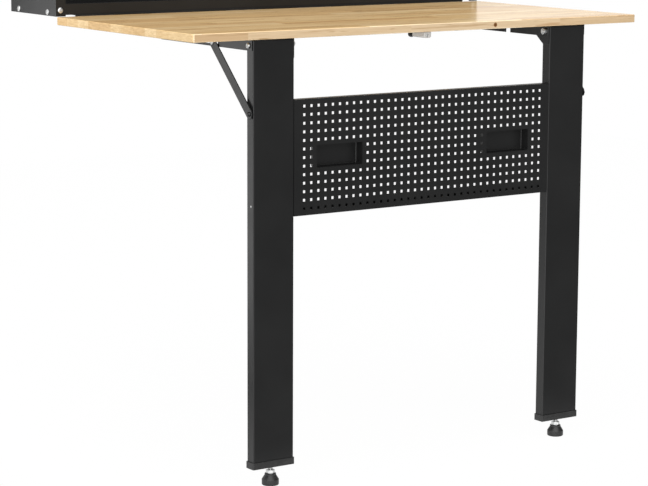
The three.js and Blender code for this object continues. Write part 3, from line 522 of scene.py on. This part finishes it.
SINK_RADIUS = 0.0036
SINK_SHANK = 0.0017
SINK_LENGTH = 0.011
SINK_TIP = 0.002
SINK_CROWN = 0.0002
SINK_RIM = 0.0002  # height of the straight rim under the face
SINK_RECESS = 0.0011
SINK_PLAY = 0.0002  # a countersink is wider than its screw all round
SINK_THROUGH = 0.004  # depth of the countersinking tool under the sheet's face
ABOVE_FACE = 0.002  # how far a cutting tool stands over the face it cuts


def flush_screw():
    """A countersunk screw on the Z axis, with its face at zero height."""
    screw = turned([
        (SINK_SHANK * 0.4, -SINK_LENGTH),
        (SINK_SHANK, SINK_TIP - SINK_LENGTH),
        (SINK_SHANK, SINK_SHANK - SINK_RADIUS),
        (SINK_RADIUS, -SINK_RIM),
        (SINK_RADIUS, 0),
        (SINK_RADIUS * 0.7, SINK_CROWN * 0.75),
        (SINK_RADIUS * 0.3, SINK_CROWN),
    ], sides=32)
    cross_cut(screw, wing=SINK_RADIUS * 0.55, slim=SINK_RADIUS * 0.13, low=-SINK_RECESS, high=ABOVE_FACE)
    smooth(screw, angle=30)
    return screw


def countersink():
    """The tool that sinks a screw's hole into a sheet whose face is at zero height."""
    shank, face = SINK_SHANK + SINK_PLAY, SINK_RADIUS + SINK_PLAY
    neck = SINK_SHANK - SINK_RADIUS
    return turned([(shank, -SINK_THROUGH), (shank, neck), (face, 0), (face, ABOVE_FACE)], sides=32)


def folded_sheet(node, edge, segments=2, screws=()):
    """A sheet piece with softened edges; each screw is given by its place and the way it faces."""
    piece = node_copy(node)
    soften(piece, edge, segments)
    for place, way in screws:
        tool = countersink()
        cut_with(piece, copied(tool, place, way), "DIFFERENCE")
        bpy.data.objects.remove(tool)
    smooth(piece)
    stand_for(piece, node + "_sheet", node)
    if screws:
        screw = flush_screw()
        for number, (place, way) in enumerate(screws, 1):
            keep(copied(screw, place, way), f"{node}_screw_{number}", BODY_OF[node], "zinc_plated_steel")
        bpy.data.objects.remove(screw)


# Worktop board

BOARD_CORNER = 0.004
BOARD_EDGE = 0.0016
LONG_EDGE = 0.01  # an edge that reaches further than this along an axis runs along it


def worktop_board():
    """The board with rounded corners and softened edges."""
    board = block(*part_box("worktop_board"))
    pick_edges(board, lambda a, b: abs(a.z - b.z) > LONG_EDGE)
    bpy.ops.mesh.bevel(offset=BOARD_CORNER, segments=6, affect="EDGES")
    done_editing()
    soften(board, BOARD_EDGE, segments=4, angle=50)
    smooth(board, angle=40)
    stand_for(board, "worktop_lacquered", "worktop_board")


worktop_board()


# Folded sheet pieces, with the wood screws that hold some of them

CABINET_EDGE = 0.0006
CHANNEL_EDGE = 0.0004
STAY_EDGE = 0.0006
LEG_EDGE = 0.0003
CAP_EDGE = 0.0008
LEAF_EDGE = 0.0001
KEEPER_EDGE = 0.0005
CHANNEL_SHEET = 0.0015
CHANNEL_SCREW_ROWS = (-0.50, -0.585, -0.67, -0.755)
CHANNEL_SCREW_ASIDE = 0.028
LEAF_FACE = 0.0012  # seat of a hinge leaf to its outer face
LEAF_SCREWS = (-0.5, -0.3, -0.1, 0.1, 0.3, 0.5)
WORKTOP_LEAF_MARGIN = 0.007  # lower edge of the leaf to its screws
CABINET_LEAF_MARGIN = 0.012  # rear edge of the leaf to its screws
KEEPER_SCREWS = (-0.011, 0.011)
KEEPER_MARGIN = 0.012
DOWN, UP, BACK = (0, 0, -1), (0, 0, 1), (0, 1, 0)


def channel_screws(node):
    """Screws up through the web into the worktop, in turn on one side and the other."""
    low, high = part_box(node)
    middle = (low.x + high.x) / 2
    aside = CHANNEL_SCREW_ASIDE
    for row in CHANNEL_SCREW_ROWS:
        yield (middle + aside, row, high.z - CHANNEL_SHEET), DOWN
        aside = -aside


def worktop_leaf_screws(node):
    """Screws through the worktop's leaf into the back of the board."""
    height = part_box(node)[0].z + WORKTOP_LEAF_MARGIN
    return [((x, BOARD_BACK + LEAF_FACE, height), BACK) for x in LEAF_SCREWS]


def cabinet_leaf_screws(node):
    """Screws up through the cabinet's leaf into the bottom tray."""
    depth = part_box(node)[1].y - CABINET_LEAF_MARGIN
    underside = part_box("cabinet_bottom")[0].z - LEAF_FACE
    return [((x, depth, underside), DOWN) for x in LEAF_SCREWS]


def keeper_screws(node):
    """Screws down through the latch's keeper."""
    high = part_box(node)[1]
    return [((x, high.y - KEEPER_MARGIN, high.z), UP) for x in KEEPER_SCREWS]


for node in ("cabinet_top", "cabinet_bottom", "cabinet_left_side", "cabinet_right_side"):
    folded_sheet(node, CABINET_EDGE)
for side in SIDES:
    channel = side + "_leg_channel"
    folded_sheet(channel, CHANNEL_EDGE, screws=list(channel_screws(channel)))
    folded_sheet(side + "_stay", STAY_EDGE)
    folded_sheet(side + "_leg", LEG_EDGE)
    folded_sheet(side + "_leg_cap", CAP_EDGE, segments=3)
folded_sheet("hinge_worktop_leaf", LEAF_EDGE, segments=1, screws=worktop_leaf_screws("hinge_worktop_leaf"))
folded_sheet("hinge_cabinet_leaf", LEAF_EDGE, segments=1, screws=cabinet_leaf_screws("hinge_cabinet_leaf"))
folded_sheet("latch_keeper", KEEPER_EDGE, screws=keeper_screws("latch_keeper"))


# Pull cups: a drawn pan with a rounded floor and a flange behind the panel

CUP_FLANGE = 0.006
CUP_WALL = 0.0012
CUP_CORNER = 0.004
CUP_FLOOR_ROUND = 0.003
ON_PLANE = 0.0001  # corners this near to a plane lie in it


def pull_cup(side):
    """A box opened towards the front, rounded, given a flange and thickened to sheet."""
    node = side + "_pull_cup"
    low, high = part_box(node)
    mouth = Vector((low.x + CUP_FLANGE, low.y, low.z + CUP_FLANGE))
    floor = Vector((high.x - CUP_FLANGE, high.y - CUP_WALL, high.z - CUP_FLANGE))
    cup = block(mouth, floor)
    editing(cup, "FACE")
    bpy.ops.mesh.select_all(action="DESELECT")
    done_editing()
    for face in cup.data.polygons:
        face.select = face.normal.y < -0.9
    bpy.ops.object.mode_set(mode="EDIT")
    bpy.ops.mesh.delete(type="FACE")
    done_editing()
    pick_edges(cup, lambda a, b: abs(a.y - b.y) > LONG_EDGE)
    bpy.ops.mesh.bevel(offset=CUP_CORNER, segments=5, affect="EDGES")
    done_editing()
    pick_edges(cup, lambda a, b: min(a.y, b.y) > floor.y - ON_PLANE)
    bpy.ops.mesh.bevel(offset=CUP_FLOOR_ROUND, segments=4, affect="EDGES")
    done_editing()
    pick_edges(cup, lambda a, b: max(a.y, b.y) < mouth.y + ON_PLANE)
    bpy.ops.mesh.extrude_region_move()
    width, height = floor.x - mouth.x, floor.z - mouth.z
    bpy.ops.transform.resize(value=((width + 2 * CUP_FLANGE) / width, 1, (height + 2 * CUP_FLANGE) / height))
    bpy.ops.mesh.select_all(action="SELECT")
    bpy.ops.mesh.normals_make_consistent(inside=False)
    done_editing()
    modify(cup, "SOLIDIFY", thickness=CUP_WALL, offset=1.0)
    smooth(cup, angle=40)
    stand_for(cup, side + "_drawn_cup", node)


for side in SIDES:
    pull_cup(side)


# Cabinet screws: pan heads with a cross recess

PAN_RADIUS = 0.0065
PAN_HEIGHT = 0.0026
PAN_SHANK = 0.0025
PAN_LENGTH = 0.006
PAN_CROWN = ((0.97, 0), (1, 0.12), (1, 0.35), (0.93, 0.62), (0.76, 0.86), (0.5, 0.97), (0.2, 1))


def cross_pan_head():
    """A pan head screw on the Z axis, seated at zero height."""
    crown = [(PAN_RADIUS * out, PAN_HEIGHT * up) for out, up in PAN_CROWN]
    head = turned([(PAN_SHANK, -PAN_LENGTH), (PAN_SHANK, 0), *crown], sides=40)
    cross_cut(head, wing=PAN_RADIUS * 0.46, slim=PAN_RADIUS * 0.11,
              low=PAN_HEIGHT * 0.35, high=PAN_HEIGHT * 2)
    smooth(head, angle=35)
    return head


def cabinet_screws():
    """The screws of the cabinet's sides and front rim, each facing outwards."""
    head = cross_pan_head()
    for node in nodes:
        if node.startswith(("side_screw", "front_screw")):
            low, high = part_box(node)
            centre = (low + high) / 2
            if node.startswith("front"):
                way, place = (0, -1, 0), (centre.x, low.y + PAN_HEIGHT, centre.z)
            elif "left" in node:
                way, place = (-1, 0, 0), (low.x + PAN_HEIGHT, centre.y, centre.z)
            else:
                way, place = (1, 0, 0), (high.x - PAN_HEIGHT, centre.y, centre.z)
            stand_for(copied(head, place, way), node + "_pan", node)
    bpy.data.objects.remove(head)


cabinet_screws()


# Pivots, stay bolts, pins and rivets

PIVOT_SHANK = 0.004
PIVOT_HEAD = 0.0035
SOCKET_ACROSS = 0.004
SOCKET_FLOOR = 0.0016  # height of the socket's floor over the head's seat
STAY_STUD = 0.008
STAY_PIN_HEAD = 0.0025
RIVET_ABOVE_BOLT = 0.0118  # leg's rivet over the panel's lower bolt


def axis_point(node, sign, depth):
    """The point on a node's middle axis at a depth in from its end on the side that the sign gives."""
    low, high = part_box(node)
    point = (low + high) / 2
    point.x = low.x + depth if sign < 0 else high.x - depth
    return point


def pivots():
    """Socket-headed pivot screws of the legs, with their nuts."""
    low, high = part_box("left_pivot_bolt")
    screw = turned([
        (PIVOT_SHANK, PIVOT_HEAD - high.x + low.x), (PIVOT_SHANK, 0), (0.0057, 0), (0.0060, 0.0004),
        (0.0060, 0.0016), (0.0054, 0.0027), (0.0042, 0.0033), (0.0028, PIVOT_HEAD),
    ], sides=40)
    socket = hexagon(SOCKET_ACROSS, height=0.004, bore=0, chamfer=0.0001)
    socket.location.z = SOCKET_FLOOR
    apply_place(socket)
    cut_with(screw, socket, "DIFFERENCE")
    smooth(screw, angle=35)
    nut = hexagon(across=0.013, height=0.0065, bore=0.0043, chamfer=0.0008)
    for side, sign in SIDES.items():
        out = (sign, 0, 0)
        bolt = side + "_pivot_bolt"
        seat = axis_point(bolt, sign, PIVOT_HEAD)
        stand_for(copied(screw, seat, out), side + "_pivot_screw", bolt)
        low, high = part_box(side + "_pivot_nut")
        inner_end = high.x if sign < 0 else low.x
        stand_for(copied(nut, (inner_end, seat.y, seat.z), out), side + "_pivot_hex_nut", side + "_pivot_nut")
    bpy.data.objects.remove(screw)
    bpy.data.objects.remove(nut)


def stay_fasteners():
    """The domed bolt at the lower end of each stay and the rivet at its upper end."""
    bolt = turned([
        (0.003, -STAY_STUD), (0.003, 0), (0.006, 0), (0.006, 0.0021), (0.004, 0.0021), (0.004, 0.0050),
        (0.0053, 0.0050), (0.0055, 0.0053), (0.0054, 0.0059), (0.0048, 0.0069), (0.0037, 0.0080),
        (0.0021, 0.0088), (0.0008, 0.0090),
    ], sides=40)
    smooth(bolt, angle=40)
    pin = turned([
        (0.0025, -0.0027), (0.0025, 0), (0.0053, 0), (0.0055, 0.0004), (0.0055, 0.0012), (0.0050, 0.0019),
        (0.0038, 0.0024), (0.0018, STAY_PIN_HEAD),
    ], sides=40)
    smooth(pin, angle=40)
    for side, sign in SIDES.items():
        out = (sign, 0, 0)
        node = side + "_stay_bolt"
        stand_for(copied(bolt, axis_point(node, -sign, STAY_STUD), out), side + "_stay_dome_bolt", node)
        node = side + "_stay_pin"
        stand_for(copied(pin, axis_point(node, sign, STAY_PIN_HEAD), out), side + "_stay_rivet", node)
    bpy.data.objects.remove(bolt)
    bpy.data.objects.remove(pin)


def leg_rivets():
    """A flush rivet in each leg's outer face, low enough to pass the channel when the leg folds."""
    rivet = turned([
        (0.0012, -0.0008), (0.0019, -0.0008), (0.0024, -0.0001), (0.0022, 0.0001), (0.0014, 0.0002),
        (0.0007, 0.00022),
    ], sides=32)
    smooth(rivet, angle=40)
    for side, sign in SIDES.items():
        leg = side + "_leg"
        face = axis_point(leg, sign, 0).x
        low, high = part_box(f"panel_bolt_{side}_lower")
        centre = (low + high) / 2
        made = copied(rivet, (face, centre.y, centre.z + RIVET_ABOVE_BOLT), (sign, 0, 0))
        keep(made, leg + "_rivet", BODY_OF[leg], "zinc_plated_steel")
    bpy.data.objects.remove(rivet)


pivots()
stay_fasteners()
leg_rivets()


# Levelling feet

FOOT_BORE = 0.0053
THREAD_PITCH = 0.0015
THREAD_ROOT = 0.0043
THREAD_CREST = 0.0050
STEM_END = 0.0042


def threaded_stem(length):
    """A stem with a ridge for each pitch of its thread, from zero height up."""
    rings = [(STEM_END, 0)]
    for turn in range(int(length / THREAD_PITCH)):
        ridge = ((THREAD_CREST, 0.4), (THREAD_CREST, 0.55), (THREAD_ROOT, 0.95))
        rings += [(radius, (turn + share) * THREAD_PITCH) for radius, share in ridge]
    stem = turned([*rings, (STEM_END, length)], sides=24)
    smooth(stem, angle=25)
    return stem


def feet():
    """Cone-shaped pads with their lock nuts and threaded stems."""
    pad = turned([
        (0.0150, 0), (0.0170, 0.0003), (0.0182, 0.0011), (0.01875, 0.0026), (0.01875, 0.0122),
        (0.0186, 0.0130), (0.0181, 0.0137), (0.0131, 0.0218), (0.0126, 0.0225), (0.0125, 0.0231),
        (0.0125, 0.0252), (0.0120, 0.0260), (FOOT_BORE, 0.0260), (FOOT_BORE, 0.0120),
    ], sides=64)
    smooth(pad, angle=30)
    nut = hexagon(across=0.017, height=0.008, bore=FOOT_BORE, chamfer=0.001)
    low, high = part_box("left_foot_stem")
    stem = threaded_stem(high.z - low.z)
    shapes = ((pad, "_foot_cone", "_foot_pad"), (nut, "_foot_lock_nut", "_foot_nut"),
              (stem, "_foot_thread", "_foot_stem"))
    for side in SIDES:
        for shape, name, node in shapes:
            low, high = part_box(side + node)
            centre = (low + high) / 2
            stand_for(copied(shape, (centre.x, centre.y, low.z)), side + name, side + node)
    for shape in (pad, nut, stem):
        bpy.data.objects.remove(shape)


feet()


# Latch

LATCH_EDGE = 0.0006


def latch():
    """The latch's barrel, its sliding rod and the grip on it."""
    housing = node_copy("latch_housing")
    soften(housing, LATCH_EDGE, segments=3, angle=40)
    smooth(housing, angle=40)
    stand_for(housing, "latch_barrel", "latch_housing", NICKEL)
    low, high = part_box("latch_bolt")
    rod = [(0.0018, 0), (0.0026, 0.0003), (0.0030, 0.0012), (0.0030, high.y - low.y)]
    grip = [(0.0033, 0.008), (0.0033, 0), (0.0050, 0), (0.0054, 0.0006), (0.0060, 0.0034), (0.0068, 0.0052),
            (0.0070, 0.0064), (0.0070, 0.0098), (0.0066, 0.0116), (0.0056, 0.0126), (0.0036, 0.0130)]
    shapes = ((rod, 32, "latch_rod", "latch_bolt"), (grip, 40, "latch_grip", "latch_knob"))
    for outline, sides, name, node in shapes:
        shape = turned(outline, sides)
        smooth(shape, angle=40)
        low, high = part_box(node)
        centre = (low + high) / 2
        stand_for(copied(shape, (centre.x, low.y, centre.z), BACK), name, node)
        bpy.data.objects.remove(shape)


latch()


# Remaining nodes keep their shape and take a finish

for name, node in nodes.items():
    node.data.materials.clear()
    node.data.materials.append(SLOTS[SLOT_OF[name]])


# Camera, light and floor

CAMERA_PLACE = (-3.03726, -4.91447, 0.05415)
CAMERA_YAW = math.radians(34.066)  # from straight at the wall, to the right
CAMERA_PITCH = math.radians(9.437)  # downwards
CAMERA_ROLL = math.radians(0.25)
CAMERA_LENS = 128.77  # millimetres, as the sensor's width
CAMERA_SENSOR = 36
CAMERA_REACH = 100

# Soft glows of the studio's walls: the way to each, the nearness to it where it starts and is full, its level
GLOWS = (
    ((0.60, 0.80, 0.00), 0.5, 0.95, 0.86),
    ((-0.66, -0.66, 0.36), 0.3, 0.90, 2.35),
    ((0.55, -0.82, -0.15), 0.6, 0.92, 0.26),
)
DUSK = 0.04  # level of each glow everywhere else

# Softboxes: place, the point each faces, width and height, watts
SOFTBOXES = {
    "overhead": ((-0.5, -0.7, 3.4), (-0.3, -0.5, -0.3), (4.2, 3.2), 148),
    "tall_from_rear_left": ((-1.19, 0.47, -0.75), (-0.47, -0.81, -0.75), (0.56, 1.1), 3.7),
}

FLOOR_SIZE = 5.3
FLOOR_MIDDLE = (1.85, 1.67)
FLOOR_GAP = 0.0002
FLOOR_PAINT = (0.9, 0.9, 0.9, 1)
FLOOR_ROUGHNESS = 0.9
FLOOR_WHITE = 0.98  # share of plain white that the camera and reflections see of the floor


def camera():
    """The camera that took the photograph, as worked out from the bench's edges."""
    sideways, level = math.sin(CAMERA_YAW), math.cos(CAMERA_PITCH)
    forward = Vector((sideways * level, math.cos(CAMERA_YAW) * level, -math.sin(CAMERA_PITCH)))
    right = Vector((math.cos(CAMERA_YAW), -sideways, 0))
    up = right.cross(forward)
    across = right * math.cos(CAMERA_ROLL) + up * math.sin(CAMERA_ROLL)
    upright = up * math.cos(CAMERA_ROLL) - right * math.sin(CAMERA_ROLL)
    data = bpy.data.cameras.new("photo_camera")
    data.sensor_width = CAMERA_SENSOR
    data.lens = CAMERA_LENS
    data.clip_end = CAMERA_REACH
    made = bpy.data.objects.new("photo_camera", data)
    scene.collection.objects.link(made)
    turn = Matrix((across, upright, -forward)).transposed().to_4x4()
    made.matrix_world = Matrix.Translation(CAMERA_PLACE) @ turn
    scene.camera = made


def softbox(name, place, aim, size, power):
    """A rectangular lamp that the camera doesn't see."""
    data = bpy.data.lights.new(name, "AREA")
    data.shape = "RECTANGLE"
    data.size, data.size_y = size
    data.energy = power
    made = bpy.data.objects.new(name, data)
    scene.collection.objects.link(made)
    made.location = place
    made.rotation_euler = (Vector(aim) - Vector(place)).to_track_quat("-Z", "Y").to_euler()
    made.visible_camera = False


def studio_walls():
    """A world that glows softly from three sides, and is plain white to the camera."""
    world = bpy.data.worlds.new("white_studio")
    scene.world = world
    world.use_nodes = True
    tree = world.node_tree
    direction = tree.nodes.new("ShaderNodeTexCoord")
    around = None
    for towards, start, full, level in GLOWS:
        nearness = tree.nodes.new("ShaderNodeVectorMath")
        nearness.operation = "DOT_PRODUCT"
        nearness.inputs[1].default_value = towards
        tree.links.new(direction.outputs["Generated"], nearness.inputs[0])
        glow = tree.nodes.new("ShaderNodeMapRange")
        glow.interpolation_type = "SMOOTHSTEP"
        for socket, value in zip(glow.inputs[1:], (start, full, DUSK, level)):
            socket.default_value = value
        tree.links.new(nearness.outputs["Value"], glow.inputs[0])
        if around:
            added = tree.nodes.new("ShaderNodeMath")
            tree.links.new(around, added.inputs[0])
            tree.links.new(glow.outputs[0], added.inputs[1])
            around = added.outputs[0]
        else:
            around = glow.outputs[0]
    path = tree.nodes.new("ShaderNodeLightPath")
    strength = tree.nodes.new("ShaderNodeMix")
    tree.links.new(path.outputs["Is Camera Ray"], strength.inputs["Factor"])
    tree.links.new(around, strength.inputs[2])
    strength.inputs[3].default_value = 1.0
    background = tree.nodes["Background"]
    background.inputs["Color"].default_value = (1, 1, 1, 1)
    tree.links.new(strength.outputs[0], background.inputs["Strength"])


def floor_paint():
    """Pale paint that is nearly plain white to the camera and in reflections, with a trace of shadow."""
    paint = bpy.data.materials.new("white_floor")
    paint.use_nodes = True
    tree = paint.node_tree
    shader = tree.nodes["Principled BSDF"]
    shader.inputs["Base Color"].default_value = FLOOR_PAINT
    shader.inputs["Roughness"].default_value = FLOOR_ROUGHNESS
    glow = tree.nodes.new("ShaderNodeEmission")
    path = tree.nodes.new("ShaderNodeLightPath")
    seen = tree.nodes.new("ShaderNodeMath")
    seen.operation = "MAXIMUM"
    tree.links.new(path.outputs["Is Camera Ray"], seen.inputs[0])
    tree.links.new(path.outputs["Is Glossy Ray"], seen.inputs[1])
    share = tree.nodes.new("ShaderNodeMath")
    share.operation = "MULTIPLY"
    share.inputs[1].default_value = FLOOR_WHITE
    tree.links.new(seen.outputs[0], share.inputs[0])
    mixed = tree.nodes.new("ShaderNodeMixShader")
    tree.links.new(share.outputs[0], mixed.inputs[0])
    tree.links.new(shader.outputs[0], mixed.inputs[1])
    tree.links.new(glow.outputs[0], mixed.inputs[2])
    tree.links.new(mixed.outputs[0], tree.nodes["Material Output"].inputs["Surface"])
    return paint


def studio_floor():
    """A plain floor just under the feet."""
    deselect()
    level = cad_box[0].z - FLOOR_GAP
    bpy.ops.mesh.primitive_plane_add(size=FLOOR_SIZE, location=(*FLOOR_MIDDLE, level))
    floor = bpy.context.active_object
    floor.name = "studio_floor"
    apply_place(floor)
    floor.data.materials.append(floor_paint())


camera()
studio_walls()
studio_floor()
for name, settings in SOFTBOXES.items():
    softbox(name, *settings)
